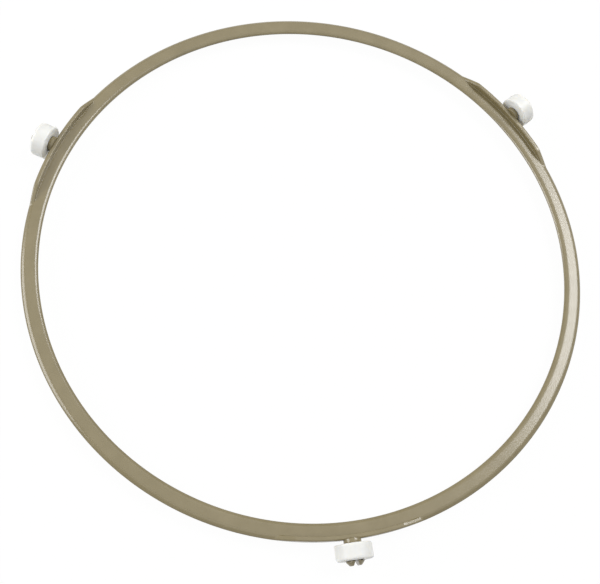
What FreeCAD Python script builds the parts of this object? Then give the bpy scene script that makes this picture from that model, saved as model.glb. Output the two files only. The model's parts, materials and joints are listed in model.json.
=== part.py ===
import FreeCAD, Part
import math
import os

# Roller ring of a microwave oven's turntable: a thin moulded ring with three rollers on split snap-in pins.
# It stands on its rollers. The origin is on the ring's axis at the oven floor, +Z is up, lengths are in mm.

# Rollers
ROLLER_COUNT = 3
FIRST_ROLLER_DEG = -90.0
ROLLER_DIAMETER = 13.5
ROLLER_WIDTH = 5.7
ROLLER_INNER_EDGE = 0.5
ROLLER_OUTER_EDGE = 0.9
BORE_CHAMFER = 0.3

# Ring band, which hangs a little below the roller axles
BAND_OUTER_RADIUS = 111.0
BAND_WIDTH = 6.5
BAND_THICKNESS = 1.5
AXLE_ABOVE_BAND = 0.75
BAND_OUTER_EDGE_WIDTH = 2.2
BAND_OUTER_EDGE_DROP = 1.0
BAND_INNER_EDGE_WIDTH = 1.7
BAND_INNER_EDGE_DROP = 0.8
BAND_UNDERSIDE_EDGE = 0.1

# Lugs: low walls on the band's outer edge, with a ramp at each end
LUG_THICKNESS = 2.3
LUG_HEIGHT = 2.5
LUG_TOP_LENGTH = 39.2
LUG_RAMP_LENGTH = 9.0
LUG_CORNER_RADIUS = 4.0
LUG_OUTER_EDGE_RADIUS = 0.7
LUG_INNER_EDGE_RADIUS = 0.4
LUG_FOOT_FILLET = 0.6

# Pins: shoulder, journal and barbed head, split by a vertical slot
SHOULDER_DIAMETER = 6.4
SHOULDER_LENGTH = 1.2
PIN_ROOT_DEPTH = 0.3
PIN_DIAMETER = 5.4
HEAD_DIAMETER = 6.6
HEAD_LAND = 0.4
HEAD_LEAD = 1.2
HEAD_TIP_DIAMETER = 4.6
SLOT_WIDTH = 0.9
SLOT_MOUTH = 2.0
SLOT_ROOT = 0.3

# Clearances
RUNNING_CLEARANCE = 0.08
AXIAL_PLAY = 0.2

# Heights and radii that follow from the sizes above
AXLE_Z = ROLLER_DIAMETER / 2
BAND_TOP_Z = AXLE_Z - AXLE_ABOVE_BAND
BAND_BOTTOM_Z = BAND_TOP_Z - BAND_THICKNESS
BAND_INNER_RADIUS = BAND_OUTER_RADIUS - BAND_WIDTH
LUG_FOOT_Z = BAND_TOP_Z - BAND_OUTER_EDGE_DROP
LUG_TOP_Z = BAND_TOP_Z + LUG_HEIGHT
SHOULDER_END = BAND_OUTER_RADIUS + SHOULDER_LENGTH
ROLLER_START = SHOULDER_END + AXIAL_PLAY
ROLLER_END = ROLLER_START + ROLLER_WIDTH
BARB_START = ROLLER_END + AXIAL_PLAY
PIN_TIP = BARB_START + HEAD_LAND + HEAD_LEAD

CENTRE = FreeCAD.Vector(0, 0, 0)
UP = FreeCAD.Vector(0, 0, 1)
OUTWARD = FreeCAD.Vector(1, 0, 0)


def on_section(point):
    """A point (distance along X, height) in the XZ plane."""
    return FreeCAD.Vector(point[0], 0, point[1])


def on_side(point):
    """A point (distance along Y, height) in the YZ plane."""
    return FreeCAD.Vector(0, point[0], point[1])


def on_plan(point):
    """A point (distance along X, distance along Y) on a level plane below the pin."""
    return FreeCAD.Vector(point[0], point[1], -SHOULDER_DIAMETER)


def line(a, b, place=on_section):
    return Part.makeLine(place(a), place(b))


def arc(centre, radius, start_deg, end_deg, place=on_section):
    """An arc about a centre, from one angle to the other, counted from the plane's first axis."""
    angles = [math.radians(a) for a in (start_deg, (start_deg + end_deg) / 2, end_deg)]
    points = [place((centre[0] + radius * math.cos(a), centre[1] + radius * math.sin(a))) for a in angles]
    return Part.Arc(*points).toShape()


def face(edges):
    return Part.Face(Part.Wire(Part.__sortEdges__(edges)))


def turned(shape, degrees):
    """A copy of a shape, turned about the ring's axis."""
    copy = shape.copy()
    copy.rotate(CENTRE, UP, degrees)
    return copy


def roll(width, drop):
    """Radius, and angle in degrees, of an arc that leaves a level line and falls by a drop over a width."""
    radius = (width**2 + drop**2) / (2 * drop)
    return radius, math.degrees(math.asin(width / radius))


def make_band():
    """One roller's share of the thin flat ring: its section with four eased edges, turned about the ring's axis."""
    inner, outer = BAND_INNER_RADIUS, BAND_OUTER_RADIUS
    top, bottom = BAND_TOP_Z, BAND_BOTTOM_Z
    under = BAND_UNDERSIDE_EDGE
    inner_flat, outer_flat = inner + BAND_INNER_EDGE_WIDTH, outer - BAND_OUTER_EDGE_WIDTH
    inner_radius, inner_deg = roll(BAND_INNER_EDGE_WIDTH, BAND_INNER_EDGE_DROP)
    outer_radius, outer_deg = roll(BAND_OUTER_EDGE_WIDTH, BAND_OUTER_EDGE_DROP)
    section = face([
        line((inner + under, bottom), (outer - under, bottom)),
        line((outer - under, bottom), (outer, bottom + under)),
        line((outer, bottom + under), (outer, top - BAND_OUTER_EDGE_DROP)),
        arc((outer_flat, top - outer_radius), outer_radius, 90 - outer_deg, 90),
        line((outer_flat, top), (inner_flat, top)),
        arc((inner_flat, top - inner_radius), inner_radius, 90, 90 + inner_deg),
        line((inner, top - BAND_INNER_EDGE_DROP), (inner, bottom + under)),
        line((inner, bottom + under), (inner + under, bottom)),
    ])
    share_deg = 360.0 / ROLLER_COUNT
    return turned(section.revolve(CENTRE, UP, share_deg), -share_deg / 2)


def lug_outline(lowered):
    """A lug seen from outside: a long flat top, rounded corners and a ramp at each end."""
    half_top = LUG_TOP_LENGTH / 2
    half_foot = half_top + LUG_RAMP_LENGTH
    top = LUG_TOP_Z - lowered
    foot = LUG_FOOT_Z - lowered
    slope_deg = math.degrees(math.atan2(top - foot, LUG_RAMP_LENGTH))
    tangent = LUG_CORNER_RADIUS * math.tan(math.radians(slope_deg / 2))
    along = tangent * math.cos(math.radians(slope_deg))
    down = tangent * math.sin(math.radians(slope_deg))
    centre = (half_top - tangent, top - LUG_CORNER_RADIUS)
    mirrored = (-centre[0], centre[1])
    outline = face([
        line((-half_foot, foot), (half_foot, foot), on_side),
        line((half_foot, foot), (half_top + along, top - down), on_side),
        arc(centre, LUG_CORNER_RADIUS, 90 - slope_deg, 90, on_side),
        line((half_top - tangent, top), (tangent - half_top, top), on_side),
        arc(mirrored, LUG_CORNER_RADIUS, 90, 90 + slope_deg, on_side),
        line((-half_top - along, top - down), (-half_foot, foot), on_side),
    ])
    return outline.extrude(OUTWARD * (BAND_OUTER_RADIUS + 1))


def edges_on_radius(solid, radius):
    """The edges that lie on a cylinder about the ring's axis, above the lug's foot."""
    found = []
    for edge in solid.Edges:
        middle = edge.valueAt((edge.FirstParameter + edge.LastParameter) / 2)
        ends = [vertex.Point for vertex in edge.Vertexes]
        on_cylinder = all(abs(math.hypot(p.x, p.y) - radius) < 1e-4 for p in ends + [middle])
        if on_cylinder and middle.z > LUG_FOOT_Z + 1e-4:
            found.append(edge)
    return found


def make_lug():
    """A curved wall flush with the band's outer edge, with eased edges and a filleted foot on its inner side."""
    inner, outer = BAND_OUTER_RADIUS - LUG_THICKNESS, BAND_OUTER_RADIUS
    fillet = LUG_FOOT_FILLET
    overlap = LUG_FOOT_FILLET / 2
    wall_section = face([
        line((inner, LUG_FOOT_Z), (outer, LUG_FOOT_Z)),
        line((outer, LUG_FOOT_Z), (outer, LUG_TOP_Z + 1)),
        line((outer, LUG_TOP_Z + 1), (inner, LUG_TOP_Z + 1)),
        line((inner, LUG_TOP_Z + 1), (inner, LUG_FOOT_Z)),
    ])
    wall = wall_section.revolve(CENTRE, UP, 360).common(lug_outline(0.0)).Solids[0]
    rounded = wall.makeFillet(LUG_OUTER_EDGE_RADIUS, edges_on_radius(wall, outer))
    rounded = rounded.makeFillet(LUG_INNER_EDGE_RADIUS, edges_on_radius(rounded, inner))
    bead_section = face([
        line((inner + overlap, BAND_TOP_Z - overlap), (inner + overlap, BAND_TOP_Z + fillet)),
        line((inner + overlap, BAND_TOP_Z + fillet), (inner, BAND_TOP_Z + fillet)),
        arc((inner - fillet, BAND_TOP_Z + fillet), fillet, 0, -90),
        line((inner - fillet, BAND_TOP_Z), (inner - fillet, BAND_TOP_Z - overlap)),
        line((inner - fillet, BAND_TOP_Z - overlap), (inner + overlap, BAND_TOP_Z - overlap)),
    ])
    bead = bead_section.revolve(CENTRE, UP, 360).common(lug_outline(2 * LUG_INNER_EDGE_RADIUS))
    return rounded.fuse(bead)


def make_pin():
    """A snap-in pin: shoulder, journal and barbed head turned about the roller axle, then split by a slot."""
    shoulder, journal = SHOULDER_DIAMETER / 2, PIN_DIAMETER / 2
    root = math.sqrt(BAND_OUTER_RADIUS**2 - shoulder**2) - PIN_ROOT_DEPTH
    head, tip = HEAD_DIAMETER / 2, HEAD_TIP_DIAMETER / 2
    stations = [
        (root, 0.0), (root, shoulder), (SHOULDER_END, shoulder), (SHOULDER_END, journal),
        (BARB_START, journal), (BARB_START, head), (BARB_START + HEAD_LAND, head), (PIN_TIP, tip), (PIN_TIP, 0.0),
    ]
    section = face([line(a, b) for a, b in zip(stations, stations[1:] + stations[:1])])
    pin = section.revolve(CENTRE, OUTWARD, 360)
    slot_start = SHOULDER_END + SLOT_ROOT + SLOT_WIDTH / 2
    side, mouth = SLOT_WIDTH / 2, SLOT_MOUTH / 2
    slot_plan = [
        (slot_start, -side), (BARB_START, -side), (PIN_TIP, -mouth),
        (PIN_TIP, mouth), (BARB_START, side), (slot_start, side),
    ]
    slot_edges = [line(a, b, on_plan) for a, b in zip(slot_plan, slot_plan[1:])]
    slot_edges.append(arc((slot_start, 0), side, 90, 270, on_plan))
    split = pin.cut(face(slot_edges).extrude(UP * 2 * SHOULDER_DIAMETER))
    split.translate(UP * AXLE_Z)
    return split


def make_roller():
    """A plain roller: bore with chamfered mouths, flat faces and a tread with rounded edges."""
    radius = ROLLER_DIAMETER / 2
    bore = PIN_DIAMETER / 2 + RUNNING_CLEARANCE
    inner_edge, outer_edge, chamfer = ROLLER_INNER_EDGE, ROLLER_OUTER_EDGE, BORE_CHAMFER
    section = face([
        line((ROLLER_START + chamfer, bore), (ROLLER_END - chamfer, bore)),
        line((ROLLER_END - chamfer, bore), (ROLLER_END, bore + chamfer)),
        line((ROLLER_END, bore + chamfer), (ROLLER_END, radius - outer_edge)),
        arc((ROLLER_END - outer_edge, radius - outer_edge), outer_edge, 0, 90),
        line((ROLLER_END - outer_edge, radius), (ROLLER_START + inner_edge, radius)),
        arc((ROLLER_START + inner_edge, radius - inner_edge), inner_edge, 90, 180),
        line((ROLLER_START, radius - inner_edge), (ROLLER_START, bore + chamfer)),
        line((ROLLER_START, bore + chamfer), (ROLLER_START + chamfer, bore)),
    ])
    roller = section.revolve(CENTRE, OUTWARD, 360)
    roller.translate(UP * AXLE_Z)
    return roller


os.makedirs("parts", exist_ok=True)
roller_angles = [FIRST_ROLLER_DEG + k * 360.0 / ROLLER_COUNT for k in range(ROLLER_COUNT)]

share = make_band().fuse(make_lug().fuse(make_pin()))
shares = [turned(share, angle) for angle in roller_angles]
ring = shares[0].multiFuse(shares[1:])
ring.exportStep("parts/ring.step")

roller = make_roller()
for number, angle in enumerate(roller_angles, start=1):
    turned(roller, angle).exportStep(f"parts/roller_{number}.step")

for name, shape in (("ring", ring), ("roller", roller)):
    box = shape.BoundBox
    print(f"{name}: {len(shape.Solids)} solid, valid {shape.isValid()}, {shape.Volume:.0f} mm3, "
          f"{box.XLength:.2f} x {box.YLength:.2f} x {box.ZLength:.2f} mm")
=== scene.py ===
# %% [markdown]
# # The roller ring under a microwave oven's glass tray
# The ring is one thin plastic moulding. Three low walls stand on its outer edge, and from each wall a
# split pin points outwards and holds a small white roller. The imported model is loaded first, as a fixed
# frame: every piece made below takes its place and its main sizes from it, and rides on one of its
# bodies.

# %% Load the frame
import json
import math
import bmesh
import bpy
import numpy as np
from mathutils import Matrix, Vector


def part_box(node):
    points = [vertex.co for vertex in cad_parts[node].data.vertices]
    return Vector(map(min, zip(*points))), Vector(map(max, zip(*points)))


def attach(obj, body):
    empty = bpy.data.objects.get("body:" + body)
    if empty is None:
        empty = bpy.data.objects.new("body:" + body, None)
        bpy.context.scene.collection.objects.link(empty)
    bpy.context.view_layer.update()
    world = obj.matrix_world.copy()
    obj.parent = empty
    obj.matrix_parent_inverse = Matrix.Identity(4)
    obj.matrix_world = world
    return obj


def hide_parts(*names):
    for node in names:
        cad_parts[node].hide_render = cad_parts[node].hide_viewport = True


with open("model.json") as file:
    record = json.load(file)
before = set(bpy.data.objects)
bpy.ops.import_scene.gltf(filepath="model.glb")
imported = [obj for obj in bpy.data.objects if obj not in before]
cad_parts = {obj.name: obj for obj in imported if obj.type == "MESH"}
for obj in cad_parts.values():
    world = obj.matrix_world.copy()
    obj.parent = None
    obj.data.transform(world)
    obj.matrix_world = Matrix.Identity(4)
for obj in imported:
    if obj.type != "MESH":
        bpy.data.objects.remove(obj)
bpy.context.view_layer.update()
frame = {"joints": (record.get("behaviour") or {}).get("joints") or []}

# %% [markdown]
# ## Sizes
# The ring's box gives its outer radius, the height of the axles and the pins' reach. The first roller
# sits on the -Y side, so its box gives the rollers' diameter and width. Smaller sizes, such as edge
# roundings, show in no box. They are named in mm where they are first needed.

# %% Read the main sizes, in mm
MM = 0.001
ring_low, ring_high = (np.array(corner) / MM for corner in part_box("ring"))
roller_low, roller_high = (np.array(corner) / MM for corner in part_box("roller_1"))

band_outer = ring_high[1]
axle_z = (ring_high[2] + ring_low[2]) / 2
pin_tip = -ring_low[1]
roller_radius = (roller_high[2] - roller_low[2]) / 2
roller_start, roller_end = -roller_high[1], -roller_low[1]
roller_degrees = {
    joint["child"]: math.degrees(math.atan2(joint["pos_m"][1], joint["pos_m"][0]))
    for joint in frame["joints"]
}
print(f"ring radius {band_outer:.2f}, axles at {axle_z:.2f}")
print(f"rollers {2 * roller_radius:.2f} across and {roller_end - roller_start:.2f} wide")
print("rollers stand at", {name: round(angle, 1) for name, angle in roller_degrees.items()})

# %% [markdown]
# ## From points to meshes
# Every new shape here is a grid of points: one direction runs round a section, the other along a path.
# Blender can build such shapes with Spin or Screw, but a grid from numpy is exact, and one function can
# close it into a mesh. Faces join each point to its neighbours, and the grid wraps round where the shape
# does.

# %% Turn a grid of points into an object
merge_distance = 0.002


def grid_faces(rows, columns, wrap_rows):
    """Quads between neighbouring grid points. Point (i, j) is number i * columns + j, and columns wrap."""
    i, j = np.meshgrid(np.arange(rows if wrap_rows else rows - 1), np.arange(columns), indexing="ij")
    below, beside = (i + 1) % rows, (j + 1) % columns
    quads = [i * columns + j, i * columns + beside, below * columns + beside, below * columns + j]
    return np.stack(quads, axis=-1).reshape(-1, 4)


def grid_object(name, shells, wrap_rows=True):
    """An object from one or more grids (rows, columns, 3) in mm. Coinciding points, as at a pole, merge."""
    mesh = bpy.data.meshes.new(name)
    starts = np.cumsum([0] + [grid.shape[0] * grid.shape[1] for grid in shells])
    points = np.concatenate([grid.reshape(-1, 3) for grid in shells]) * MM
    quads = np.concatenate(
        [grid_faces(*grid.shape[:2], wrap_rows) + start for grid, start in zip(shells, starts)]
    )
    mesh.from_pydata(points.tolist(), [], quads.tolist())
    skin = bmesh.new()
    skin.from_mesh(mesh)
    bmesh.ops.remove_doubles(skin, verts=skin.verts, dist=merge_distance * MM)
    bmesh.ops.recalc_face_normals(skin, faces=skin.faces)
    skin.to_mesh(mesh)
    skin.free()
    piece = bpy.data.objects.new(name, mesh)
    bpy.context.scene.collection.objects.link(piece)
    return piece


def smooth_round_edges(piece, degrees):
    """Smooth shading, with a crease only where two faces meet at more than this angle."""
    piece.data.shade_smooth()
    piece.data.set_sharp_from_angle(angle=math.radians(degrees))


print(f"points closer than {merge_distance} mm are merged")

# %% [markdown]
# ## Arcs and straight runs
# Moulded sections are drawn with a ruler and a compass, so two small functions are enough for every
# outline below. Both take whole arrays as well: a section that changes along its path is then drawn for
# all its steps at once, with no loop.

# %% Draw arcs and runs
def arc(centre_a, centre_b, radius, start_degrees, end_degrees, count):
    """Points on an arc: centre + radius * (cos, sin). Centre and radius may be arrays, one entry per step."""
    angle = np.radians(np.linspace(start_degrees, end_degrees, count))
    radius = np.asarray(radius)[..., None]
    a = np.asarray(centre_a)[..., None] + radius * np.cos(angle)
    b = np.asarray(centre_b)[..., None] + radius * np.sin(angle)
    return np.stack(np.broadcast_arrays(a, b), axis=-1)


def line(start, end, count):
    """Points on a straight run, both ends left out: start + t * (end - start)."""
    t = np.linspace(0, 1, count + 2)[1:-1, None]
    start, end = np.asarray(start)[..., None, :], np.asarray(end)[..., None, :]
    return start + t * (end - start)


print("middle of a quarter turn:", arc(0, 0, 1, 0, 90, 3)[1].round(3))

# %% [markdown]
# ## The ring's path
# The band is a plain circle, but where a wall begins the section changes within a few millimetres. So
# the steps along the path are short at the walls and long between them. How high the wall stands at each
# step is one formula: the lower of a flat top and a straight ramp, with the corner between them rounded
# off. Past its foot the ramp runs on below the band, where it no longer shows.

# %% Steps round the ring, and the wall's height at each
lug_height, lug_top_length = 2.5, 39.2
ramp_drop, ramp_length = 3.5, 9.0
corner_reach = 0.3
fine_share, fine_margin = 0.28, 2
fine_steps, plain_steps = 200, 40


def soft_positive(x, reach):
    """x above reach, 0 below -reach, and the parabola (x + reach)^2 / (4 reach) between the two."""
    return np.where(x > reach, x, np.where(x < -reach, 0.0, (x + reach) ** 2 / (4 * reach)))


def wall_height(across):
    """Height over the band at a distance from the axle: top - soft(distance past the top * slope)."""
    slope = ramp_drop / ramp_length
    return lug_height - soft_positive((np.abs(across) - lug_top_length / 2) * slope, corner_reach)


third = 2 * math.pi * band_outer / 3
fine_end, third_end = fine_share * third / 2 + fine_margin, third / 2
steps = np.concatenate([
    np.linspace(-third_end, -fine_end, plain_steps, endpoint=False),
    np.linspace(-fine_end, fine_end, fine_steps, endpoint=False),
    np.linspace(fine_end, third_end, plain_steps, endpoint=False),
])
first_angle = math.radians(min(roller_degrees.values()))
path_angle = (first_angle + steps / band_outer + np.arange(3)[:, None] * 2 * math.pi / 3).ravel()
path_wall = np.tile(wall_height(band_outer * np.sin(steps / band_outer)), 3)
print(f"{len(path_angle)} steps round the ring, walls {path_wall.max():.2f} mm high")

# %% [markdown]
# ## The band and its three walls
# On the real moulding the wall grows out of the band's outer edge with a small fillet at its foot, which
# lets the plastic flow and keeps the corner from cracking. A modeller might extrude the wall and bevel
# it. Here the section itself knows the wall's height: the wall's points are never lower than the band's
# own skin, which rolls down at both edges. So where the ramp sinks away they lie on the band, and where
# it climbs they rise. Nothing has to be joined.

# %% The band's skin
axle_above_band, band_thickness, band_width = 0.75, 1.5, 6.5
outer_roll, inner_roll, under_edge = (2.2, 1.0), (1.7, 0.8), 0.1
band_top = axle_z - axle_above_band
band_bottom, band_inner = band_top - band_thickness, band_outer - band_width


def roll_arc(width, drop):
    """Radius, and angle in degrees, of an arc that leaves a level line and falls by a drop over a width."""
    radius = (width ** 2 + drop ** 2) / (2 * drop)
    return radius, math.degrees(math.asin(width / radius))


def band_skin(radius):
    """Height of the plain band's top at a distance from the axis: level, then an arc to the outer edge."""
    bend, _ = roll_arc(*outer_roll)
    past = np.clip(radius - band_outer + outer_roll[0], 0, outer_roll[0])
    return band_top - bend + np.sqrt(bend ** 2 - past ** 2)


print(f"band from {band_inner:.1f} to {band_outer:.1f} mm, top at {band_top:.2f} mm")

# %% The section, and the surface it sweeps
wall_thickness, wall_outer_edge, wall_inner_edge, foot_fillet = 1.8, 0.7, 0.4, 0.2
wall_inner = band_outer - wall_thickness
skin_blend = 0.06


def ring_section(wall):
    """The closed section (radius, height) at each wall height: six arcs, each with a straight run to the
    next, counted from the underside of the outer edge. The wall's arcs are raised to
    skin + soft(height - skin), the higher of the two with a small blend, and its runs to the higher one."""
    def corner(a, b, radius, start_degrees, end_degrees, count):
        """An arc at every step, where a size that never changes is the same at all of them."""
        a, b, radius, _ = np.broadcast_arrays(a, b, radius, wall)
        return arc(a, b, radius, start_degrees, end_degrees, count)

    wall_top = band_top + wall
    fillet = np.clip(wall - wall_inner_edge, 0, foot_fillet)
    bend, bend_degrees = roll_arc(*inner_roll)
    corners = [
        corner(band_outer - under_edge, band_bottom + under_edge, under_edge, -90, 0, 4),
        corner(band_outer - wall_outer_edge, wall_top - wall_outer_edge, wall_outer_edge, 0, 90, 10),
        corner(wall_inner + wall_inner_edge, wall_top - wall_inner_edge, wall_inner_edge, 90, 180, 6),
        corner(wall_inner - fillet, band_top + fillet, fillet, 0, -90, 6),
        corner(band_inner + inner_roll[0], band_top - bend, bend, 90, 90 + bend_degrees, 10),
        corner(band_inner + under_edge, band_bottom + under_edge, under_edge, 180, 270, 4),
    ]
    for points in corners[1:4]:
        skin = band_skin(points[..., 0])
        points[..., 1] = skin + soft_positive(points[..., 1] - skin, skin_blend)
    run_points = [4, 4, 4, 5, 1, 5]
    stretches = [
        np.concatenate([points, line(points[:, -1], following[:, 0], count)], axis=1)
        for points, following, count in zip(corners, corners[1:] + corners[:1], run_points)
    ]
    for points in stretches[1:3]:
        points[..., 1] = np.maximum(points[..., 1], band_skin(points[..., 0]))
    return np.concatenate(stretches, axis=1)


section = ring_section(path_wall)
band_grid = np.stack([
    section[..., 0] * np.cos(path_angle)[:, None],
    section[..., 0] * np.sin(path_angle)[:, None],
    section[..., 1],
], axis=-1)
ring = grid_object("moulded_ring", [band_grid])
print(f"moulded_ring: {len(ring.data.polygons)} faces")

# %% [markdown]
# ## The split pins
# Each roller is pushed on over a pin that is slit down the middle: its two prongs spring together, and
# the barbed head snaps out behind the roller. A pin is a turned shape, so its surface is a profile
# carried round the axle. The slit is cut out afterwards with a Boolean, as a saw would do it. Its
# outline has a round root, so that the prongs don't crack there, and a mouth that opens towards the tip.
# It is pulled up through the pin.

# %% The pin's profile
shoulder_radius, pin_radius, head_radius, tip_radius = 3.2, 2.7, 3.3, 2.3
shoulder_length, head_land, pin_root, ease = 1.2, 0.4, 0.3, 0.12
shoulder_end = band_outer + shoulder_length
barb_start = roller_end + (roller_start - shoulder_end)
pin_start = math.sqrt(band_outer ** 2 - shoulder_radius ** 2) - pin_root


def pin_profile():
    """Outline (distance from the ring's axis, radius) from the root's centre to the tip's: straight runs,
    with arcs of radius `ease` at the corners and of twice that at the tip."""
    lead_degrees = math.degrees(math.atan2(pin_tip - barb_start - head_land, head_radius - tip_radius))
    return np.concatenate([
        [[pin_start, 0.0]],
        arc(pin_start + ease, shoulder_radius - ease, ease, 180, 90, 4),
        arc(shoulder_end - ease, shoulder_radius - ease, ease, 90, 0, 4),
        arc(shoulder_end + ease, pin_radius + ease, ease, 180, 270, 4),
        [[barb_start, pin_radius]],
        arc(barb_start + ease, head_radius - ease, ease, 180, 90, 4),
        arc(barb_start + head_land - ease, head_radius - ease, ease, 90, lead_degrees, 3),
        arc(pin_tip - 2 * ease, tip_radius - 2 * ease, 2 * ease, lead_degrees, 0, 4),
        [[pin_tip, 0.0]],
    ])


print(f"pin from {pin_start:.1f} to {pin_tip:.1f} mm out, {len(pin_profile())} points in its profile")

# %% The slit's outline
slit_width, slit_mouth, slit_root = 0.9, 2.0, 0.3
slit_start = shoulder_end + slit_root
# The flare begins just before the barb, and the cut runs on past the tip, so that no two edges coincide.
flare_start = barb_start - ease / 2
overshoot = 1.0


def slit_outline():
    """Closed outline (distance from the ring's axis, distance from the slit's middle): a half circle at the
    root, straight sides almost to the barb, and a mouth that widens evenly from there to past the tip."""
    half = slit_width / 2
    mouth_half = half + (slit_mouth - slit_width) / 2 * (1 + overshoot / (pin_tip - flare_start))
    return np.concatenate([
        arc(slit_start + half, 0, half, 90, 270, 13),
        [[flare_start, -half], [pin_tip + overshoot, -mouth_half]],
        [[pin_tip + overshoot, mouth_half], [flare_start, half]],
    ])


print(f"slit from {slit_start:.1f} mm, {slit_width} mm wide and {slit_mouth} mm at the tip")

# %% Pins, joined into the moulding and slit
pin_turns, ring_crease = 80, 35


def at_roller(along, across, above, degrees):
    """Points along, across and above an axle, in mm, turned about Z to that roller's place."""
    along, across, above = np.broadcast_arrays(along, across, above)
    angle = math.radians(degrees)
    return np.stack([
        along * math.cos(angle) - across * math.sin(angle),
        along * math.sin(angle) + across * math.cos(angle),
        axle_z + above,
    ], axis=-1)


def turned(profile, degrees, turns, first=0.0):
    """A profile carried round the axle: (along, r cos, r sin) at each turn, where the first turn stands at
    this share of a step."""
    along, radius = np.split(profile, 2, axis=1)
    turn = (np.arange(turns) + first) * 2 * math.pi / turns
    return at_roller(along, radius * np.cos(turn), radius * np.sin(turn), degrees)


def slit_cutter(degrees):
    """The slit's outline pulled up past the pin's head, closed at both ends by fans from its middle line."""
    along, across = slit_outline().T
    hub, middle = np.full_like(along, flare_start), np.zeros_like(across)
    reach = head_radius + overshoot
    above = np.array([[-reach], [-reach], [reach], [reach]])
    return at_roller(
        np.stack([hub, along, along, hub]), np.stack([middle, across, across, middle]), above, degrees
    )


def combine(piece, tool, operation):
    """Unites a closed mesh with another or cuts the other out of it, so that the moulding stays one skin."""
    boolean = piece.modifiers.new("combine", "BOOLEAN")
    boolean.operation, boolean.solver, boolean.object = operation, "EXACT", tool
    depsgraph = bpy.context.evaluated_depsgraph_get()
    combined = bpy.data.meshes.new_from_object(piece.evaluated_get(depsgraph))
    piece.modifiers.clear()
    piece.data = combined
    bpy.data.objects.remove(tool)


# Half a step round, no edge of a pin lies in the slit's middle plane, where a Boolean could stumble over it.
pin_grids = [turned(pin_profile(), degrees, pin_turns, first=0.5) for degrees in roller_degrees.values()]
slit_grids = [slit_cutter(degrees) for degrees in roller_degrees.values()]
combine(ring, grid_object("pins", pin_grids, wrap_rows=False), "UNION")
combine(ring, grid_object("slits", slit_grids, wrap_rows=False), "DIFFERENCE")
smooth_round_edges(ring, ring_crease)
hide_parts("ring")
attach(ring, "ring")
print(f"{ring.name} with its pins: {len(ring.data.polygons)} faces")

# %% [markdown]
# ## The rollers
# A roller is a plain turned shape: a bore with chamfered mouths, two flat faces and a tread whose edges
# are rounded, more on the outside, so that it runs quietly in the oven floor's track. Spin could make it
# too. Here the section closes on itself and is carried once round the axle, by the function that turned
# the pins. All three rollers have the same shape, each in its own place.

# %% Roller surfaces
running_clearance = 0.08
bore_radius = pin_radius + running_clearance
inner_rounding, outer_rounding, mouth = 0.5, 0.9, 0.3
roller_turns, roller_crease = 96, 30


def roller_profile():
    """Closed outline (distance from the ring's axis, radius): bore, chamfers and faces as straight runs, and
    arcs at the tread's edges."""
    tread_start, tread_end = roller_start + inner_rounding, roller_end - outer_rounding
    return np.concatenate([
        line((roller_start + mouth, bore_radius), (roller_end - mouth, bore_radius), 5),
        [[roller_end - mouth, bore_radius], [roller_end, bore_radius + mouth]],
        line((roller_end, bore_radius + mouth), (roller_end, roller_radius - outer_rounding), 3),
        arc(tread_end, roller_radius - outer_rounding, outer_rounding, 0, 90, 10),
        line((tread_end, roller_radius), (tread_start, roller_radius), 5),
        arc(tread_start, roller_radius - inner_rounding, inner_rounding, 90, 180, 8),
        line((roller_start, roller_radius - inner_rounding), (roller_start, bore_radius + mouth), 3),
        [[roller_start, bore_radius + mouth], [roller_start + mouth, bore_radius]],
    ])


rollers = []
for name, degrees in roller_degrees.items():
    roller = grid_object("white_" + name, [turned(roller_profile(), degrees, roller_turns)])
    smooth_round_edges(roller, roller_crease)
    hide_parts(name)
    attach(roller, name)
    rollers.append(roller)
print(f"{len(rollers)} rollers of {len(rollers[0].data.polygons)} faces")

# %% [markdown]
# ## Colours and nodes
# Colours are written as they look on screen, in sRGB hex, and turned into the linear values that Cycles
# works with. One function adds any node: it sets the values, then makes the links.

# %% Helpers for materials
def linear(code):
    """sRGB hex to linear RGBA: c / 12.92 below 0.04045, and ((c + 0.055) / 1.055) ^ 2.4 above."""
    srgb = np.array([int(code[i:i + 2], 16) for i in (1, 3, 5)]) / 255
    rgb = np.where(srgb <= 0.04045, srgb / 12.92, ((srgb + 0.055) / 1.055) ** 2.4)
    return (*rgb.tolist(), 1.0)


def add_node(tree, kind, settings=None, links=None):
    """Adds a node, sets its properties and sockets, by name or number, and links sockets to outputs."""
    made = tree.nodes.new(kind)
    for name, value in (settings or {}).items():
        if isinstance(name, int) or name in made.inputs:
            made.inputs[name].default_value = value
        else:
            setattr(made, name, value)
    for name, output in (links or {}).items():
        tree.links.new(output, made.inputs[name])
    return made


def new_material(name):
    """An empty material and its node tree."""
    material = bpy.data.materials.new(name)
    material.use_nodes = True
    material.node_tree.nodes.clear()
    return material, material.node_tree


def per_metre(size_mm):
    """A texture's scale for features of this size: how many go into a metre."""
    return 1 / (size_mm * MM)


print("mid grey in linear light:", round(linear("#808080")[0], 3))

# %% [markdown]
# ## The ring's plastic
# The ring has to stand hot plates and steam, so it is moulded from a heat-proof plastic, polyphenylene
# sulphide with glass fibre: olive brown, hard, and glossier than it is smooth. The mould was turned on a
# lathe and then polished, so the skin has faint concentric lines and a fine waviness, and the fibre
# gives a slightly cloudy colour. A plain colour would look like paint, so noise and rings in the node
# tree make it uneven.

# %% Moulded polyphenylene sulphide
ring_plastic, tree = new_material("moulded_polyphenylene_sulphide")
place = add_node(tree, "ShaderNodeTexCoord").outputs["Object"]
clouds = add_node(
    tree, "ShaderNodeTexNoise", {"Scale": per_metre(9), "Detail": 5.0, "Roughness": 0.6}, {"Vector": place}
)
colour = add_node(tree, "ShaderNodeValToRGB", links={"Fac": clouds.outputs["Fac"]})
for stop, position, code in zip(colour.color_ramp.elements, (0.3, 0.7), ("#756A4A", "#7E7354")):
    stop.position, stop.color = position, linear(code)
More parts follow.
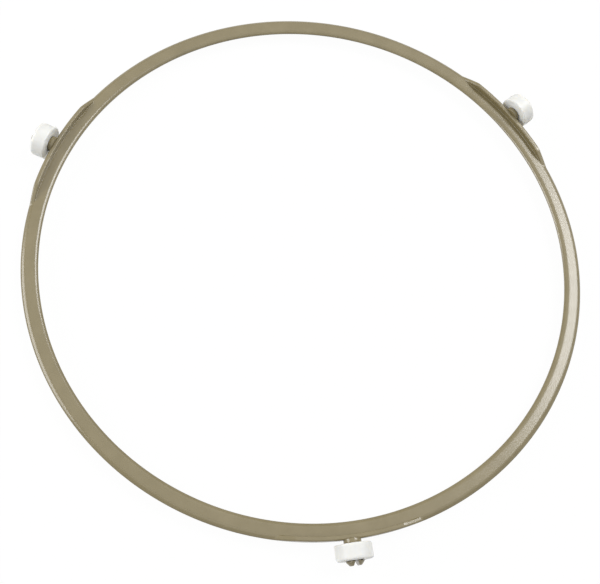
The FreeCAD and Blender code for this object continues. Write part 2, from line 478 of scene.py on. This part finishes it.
# The polish is uneven at about 3 mm, which makes the gloss swim a little along the band.
polish = add_node(tree, "ShaderNodeTexNoise", {"Scale": per_metre(3), "Detail": 3.0}, {"Vector": place})
rough = add_node(
    tree, "ShaderNodeMapRange", {"To Min": 0.19, "To Max": 0.24}, {"Value": polish.outputs["Fac"]}
)
# The lathe's lines are about 0.1 mm apart. They are drawn at 0.5 mm, as fine as shows here. At a scale of 1,
# the Wave texture's rings are 2 pi / 20 apart.
ring_spacing = 2 * math.pi / 20
turning = add_node(
    tree, "ShaderNodeTexWave",
    {
        "wave_type": "RINGS", "rings_direction": "Z",
        "Scale": per_metre(0.5) * ring_spacing, "Distortion": 1.5,
    },
    {"Vector": place},
)
lines = add_node(
    tree, "ShaderNodeBump", {"Strength": 0.015, "Distance": 0.02 * MM}, {"Height": turning.outputs["Fac"]}
)
# The waviness is left by the polishing, with swells of about 1.6 mm.
swells = add_node(tree, "ShaderNodeTexNoise", {"Scale": per_metre(1.6), "Detail": 2.0}, {"Vector": place})
skin = add_node(
    tree, "ShaderNodeBump", {"Strength": 0.02, "Distance": 0.03 * MM},
    {"Height": swells.outputs["Fac"], "Normal": lines.outputs["Normal"]},
)
shader = add_node(
    tree, "ShaderNodeBsdfPrincipled", {"IOR": 1.58},
    {
        "Base Color": colour.outputs["Color"], "Roughness": rough.outputs["Result"],
        "Normal": skin.outputs["Normal"],
    },
)
add_node(tree, "ShaderNodeOutputMaterial", links={"Surface": shader.outputs["BSDF"]})
ring.data.materials.clear()
ring.data.materials.append(ring_plastic)
print(ring_plastic.name, "on", ring.name)

# %% [markdown]
# ## The rollers' plastic
# The rollers are acetal in its natural white: a waxy, slippery plastic that light enters a little way
# before it comes out again, so that edges look soft. Subsurface scattering does just that, where a
# brighter white would only look chalky. The surface is satin from the mould, with a faint milky
# unevenness.

# %% Moulded acetal
roller_plastic, tree = new_material("moulded_natural_acetal")
place = add_node(tree, "ShaderNodeTexCoord").outputs["Object"]
# The milky clouds are about 4 mm wide, and the mould's satin grain is drawn at 0.8 mm so that it shows.
milk = add_node(tree, "ShaderNodeTexNoise", {"Scale": per_metre(4), "Detail": 3.0}, {"Vector": place})
colour = add_node(tree, "ShaderNodeValToRGB", links={"Fac": milk.outputs["Fac"]})
for stop, position, code in zip(colour.color_ramp.elements, (0.3, 0.7), ("#DCDCD9", "#E1E1DE")):
    stop.position, stop.color = position, linear(code)
satin = add_node(tree, "ShaderNodeTexNoise", {"Scale": per_metre(0.8), "Detail": 2.0}, {"Vector": place})
rough = add_node(
    tree, "ShaderNodeMapRange", {"To Min": 0.4, "To Max": 0.52}, {"Value": satin.outputs["Fac"]}
)
skin = add_node(
    tree, "ShaderNodeBump", {"Strength": 0.08, "Distance": 0.03 * MM}, {"Height": satin.outputs["Fac"]}
)
# Red light travels a little further in the plastic than blue light does.
shader = add_node(
    tree, "ShaderNodeBsdfPrincipled",
    {
        "IOR": 1.48, "Subsurface Weight": 1.0, "Subsurface Radius": (1.0, 0.95, 0.85),
        "Subsurface Scale": 1.2 * MM,
    },
    {
        "Base Color": colour.outputs["Color"], "Roughness": rough.outputs["Result"],
        "Normal": skin.outputs["Normal"],
    },
)
add_node(tree, "ShaderNodeOutputMaterial", links={"Surface": shader.outputs["BSDF"]})
for roller in rollers:
    roller.data.materials.clear()
    roller.data.materials.append(roller_plastic)
print(roller_plastic.name, "on", len(rollers), "rollers")

# %% [markdown]
# ## Floor and world
# The ring lies on a white sweep. The floor is a pale diffuse surface, and the camera and the reflections
# see most of it as plain white, with a share left to the light, so that the ring keeps a faint shadow.
# The world does the same: it is plain white to look at, but gives only a weak fill light, so that the
# lamps model the shapes. Brighter lamps would whiten the floor too, but they would bleach the object
# with it.

# %% White floor
bpy.context.scene.view_settings.view_transform = "Standard"
floor_half, floor_white_share = 2.0, 0.97


def looked_at(tree):
    """1 for rays from the camera, a reflection or a clear material, else 0: the highest of three outputs."""
    path = add_node(tree, "ShaderNodeLightPath")
    highest = path.outputs["Is Camera Ray"]
    for kind in ("Is Glossy Ray", "Is Transmission Ray"):
        both = add_node(
            tree, "ShaderNodeMath", {"operation": "MAXIMUM"}, {0: highest, 1: path.outputs[kind]}
        )
        highest = both.outputs[0]
    return highest


floor_mesh = bpy.data.meshes.new("floor")
corners = [(x * floor_half, y * floor_half, 0) for x, y in ((-1, -1), (1, -1), (1, 1), (-1, 1))]
floor_mesh.from_pydata(corners, [], [(0, 1, 2, 3)])
floor = bpy.data.objects.new("floor", floor_mesh)
bpy.context.scene.collection.objects.link(floor)

floor_white, tree = new_material("white_sweep")
share = add_node(
    tree, "ShaderNodeMath", {"operation": "MULTIPLY", 1: floor_white_share}, {0: looked_at(tree)}
)
paper = add_node(tree, "ShaderNodeBsdfDiffuse", {"Color": linear("#F4F4F2")})
glow = add_node(tree, "ShaderNodeEmission", {"Color": linear("#FFFFFF"), "Strength": 1.0})
mixed = add_node(
    tree, "ShaderNodeMixShader", links={0: share.outputs[0], 1: paper.outputs[0], 2: glow.outputs[0]}
)
add_node(tree, "ShaderNodeOutputMaterial", links={"Surface": mixed.outputs[0]})
floor_mesh.materials.append(floor_white)
print("floor", 2 * floor_half, "m wide")

# %% White world
world_fill = 0.18
world = bpy.data.worlds.new("white_room")
bpy.context.scene.world = world
world.use_nodes = True
tree = world.node_tree
tree.nodes.clear()
fill = add_node(tree, "ShaderNodeBackground", {"Color": linear("#FFFFFF"), "Strength": world_fill})
white = add_node(tree, "ShaderNodeBackground", {"Color": linear("#FFFFFF"), "Strength": 1.0})
mixed = add_node(
    tree, "ShaderNodeMixShader", links={0: looked_at(tree), 1: fill.outputs[0], 2: white.outputs[0]}
)
add_node(tree, "ShaderNodeOutputWorld", links={"Surface": mixed.outputs[0]})
print("fill light", world_fill)

# %% [markdown]
# ## Four soft boxes
# A glossy ring shows its lamps as much as its own colour, so the lamps are placed by what the ring
# mirrors. Each point of the band's flat top mirrors one direction only. A bright level box hangs high
# over the right side, where its near edge ends the long gloss, and a wider, paler board beyond it
# carries the gloss on. A low upright box on the left draws the thin line on the rounded outer edge and
# lights the sides that the others miss. A broad, faint box under the ceiling softens the rest. One large
# lamp would be simpler, but its reflection would cover the whole band.

# %% Soft boxes
ceiling, right_turn = 2.0, -14


def soft_box(name, place, size, brightness, lean=0, turn=0):
    """An area lamp with its centre at a place, in m. It faces down, leans over by an angle about Y and is
    then turned about Z. Its power is brightness * pi * area, so that its size doesn't change its glare."""
    length, width = size
    lamp = bpy.data.lights.new(name, "AREA")
    lamp.shape, lamp.size, lamp.size_y = "RECTANGLE", length, width
    lamp.energy = brightness * math.pi * length * width
    box = bpy.data.objects.new(name, lamp)
    box.location = place
    box.rotation_euler = (0.0, math.radians(lean), math.radians(turn))
    bpy.context.scene.collection.objects.link(box)


soft_box("right_box", (1.25, 0.67, ceiling), size=(0.56, 1.1), brightness=12.0, turn=right_turn)
soft_box("right_board", (2.29, 0.67, ceiling), size=(1.46, 1.4), brightness=7.0, turn=right_turn)
soft_box("left_box", (-1.05, 0.15, 0.56), size=(0.68, 0.86), brightness=5.5, lean=-62, turn=-8)
soft_box("top_box", (0.3, 0.1, ceiling), size=(3.0, 3.4), brightness=0.7)
print("soft boxes:", [lamp.name for lamp in bpy.data.lights])

# %% [markdown]
# ## The camera
# The picture was taken from high above one side of the ring, so that its circle shows as a slightly
# flattened one. A Track To constraint would keep the camera level, but this one was held a little
# tilted. So it gets a place, two angles for its direction, and a tilt about its line of sight, and the
# three axes follow from them.

# %% Camera
camera = bpy.data.cameras.new("camera")
camera.lens, camera.sensor_width = 54.0, 36.0
camera.clip_start, camera.clip_end = 0.01, 20.0
viewer = bpy.data.objects.new("camera", camera)
bpy.context.scene.collection.objects.link(viewer)
bpy.context.scene.camera = viewer

azimuth, elevation, tilt = (math.radians(degrees) for degrees in (-22.920, 68.466, 16.294))
camera_x, camera_y, camera_above_band = -55.83, -134.57, 325.62
back = Vector((
    math.cos(elevation) * math.sin(azimuth), -math.cos(elevation) * math.cos(azimuth), math.sin(elevation)
))
level = Vector((math.cos(azimuth), math.sin(azimuth), 0.0))
upright = back.cross(level)
right = level * math.cos(tilt) + upright * math.sin(tilt)
up = upright * math.cos(tilt) - level * math.sin(tilt)
camera_place = Vector((camera_x, camera_y, camera_above_band + band_top)) * MM
camera_axes = Matrix((right, up, back)).transposed().to_4x4()
viewer.matrix_world = Matrix.Translation(camera_place) @ camera_axes
print("camera at", [round(1000 * c, 1) for c in camera_place], "mm")
